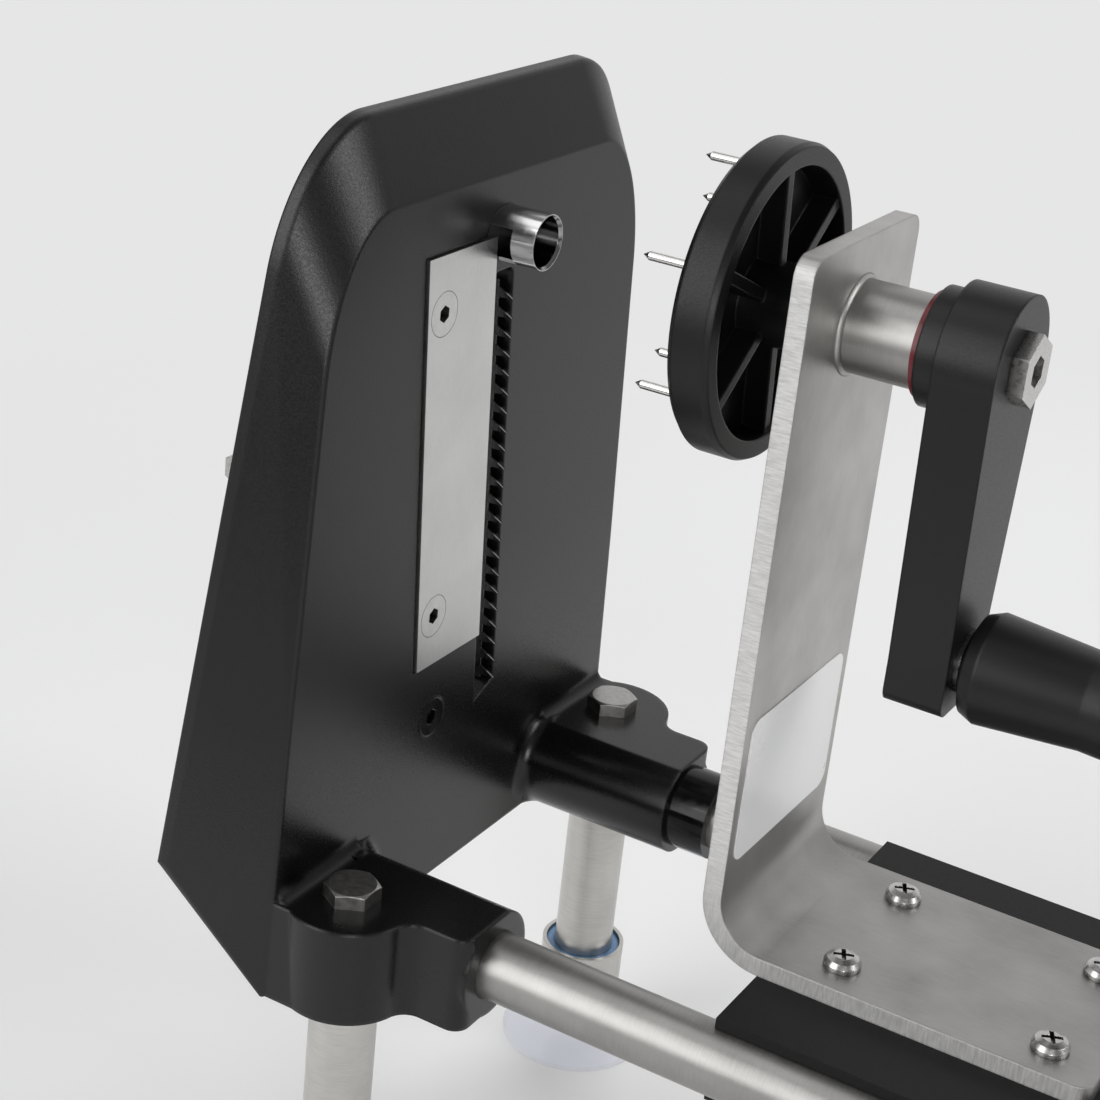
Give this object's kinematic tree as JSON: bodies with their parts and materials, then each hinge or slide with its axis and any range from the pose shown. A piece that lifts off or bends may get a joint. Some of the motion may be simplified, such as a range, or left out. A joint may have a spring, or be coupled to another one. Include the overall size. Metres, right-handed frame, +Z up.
{
  "type": "spiralizer",
  "caption": "Hand-cranked vegetable spiralizer: upright head with slant blade, toothed comb and coring tube, steel rails on suction feet, and a sliding carriage with a pinned disc and crank.",
  "frame": {"origin": "centre of the footprint on the bench", "axes": "+X from the slicing head to the crank, +Y to the far side, +Z up; the head is symmetric about Y"},
  "size_m": [0.441, 0.1802, 0.3157],
  "materials": {
    "moulding": "fine matt grain, black",
    "black_part": "smooth black",
    "black_gloss": "glossy black",
    "black_sheet": "matt black sheet",
    "blade_steel": "fine ground",
    "polished_steel": "bright turned",
    "tube_steel": "brushed lengthwise",
    "plate_steel": "brushed upright",
    "fastener": "plain steel",
    "bolt_steel": "plain steel, slightly dark",
    "black_screw": "black finish",
    "blue_rubber": "light blue, semi-matt",
    "clear_cup": "translucent, faint violet blue",
    "red_washer": "dark red",
    "label": "white film"
  },
  "bodies": {
    "frame": {"head_shell": "moulding", "blade_plate": "blade_steel", "blade_screws": "fastener", "blade_nuts": "fastener", "lone_screw": "black_screw", "coring_tube": "polished_steel", "corer_nut": "fastener", "comb_blade": "blade_steel", "side_bolt": "fastener", "side_nut": "fastener", "near_rail": "tube_steel", "far_rail": "tube_steel", "rail_plugs": "black_part", "rail_stop": "black_gloss", "leg_front_near": "tube_steel", "leg_front_far": "tube_steel", "leg_rear_near": "tube_steel", "leg_rear_far": "tube_steel", "leg_inserts": "fastener", "front_bolts": "bolt_steel", "rear_bolts": "bolt_steel", "collar_front_near": "tube_steel", "collar_front_far": "tube_steel", "collar_rear_near": "tube_steel", "collar_rear_far": "tube_steel", "foot_sleeves": "blue_rubber", "cup_front_near": "clear_cup", "cup_front_far": "clear_cup", "cup_rear_near": "clear_cup", "cup_rear_far": "clear_cup", "rear_crosspiece": "moulding"},
    "carriage": {"bracket": "plate_steel", "bearing_tube": "tube_steel", "bearing_weld": "plate_steel", "bush_front": "black_part", "bush_rear": "black_part", "thrust_washer": "red_washer", "glide_upper": "black_sheet", "glide_lower": "black_sheet", "guide_block": "black_part", "carriage_screws": "fastener", "carriage_nuts": "fastener", "push_label": "label"},
    "spindle_unit": {"spindle": "tube_steel", "pusher_disc": "moulding", "disc_pins": "polished_steel", "crank_arm": "moulding", "crank_bolt": "fastener", "grip_axle": "fastener"},
    "grip": {"crank_grip": "moulding"}
  },
  "joints": [
    {"name": "carriage_slide", "type": "slide", "parent": "frame", "child": "carriage", "axis": [1, 0, 0], "range_m": [-0.05, 0.15]},
    {"name": "spindle_spin", "type": "hinge", "parent": "carriage", "child": "spindle_unit", "pos_m": [-0.06504, 0, 0.2769], "axis": [1, 0, 0], "continuous": true},
    {"name": "grip_spin", "type": "hinge", "parent": "spindle_unit", "child": "grip", "pos_m": [-0.00204, 0, 0.2025], "axis": [1, 0, 0], "continuous": true}
  ]
}
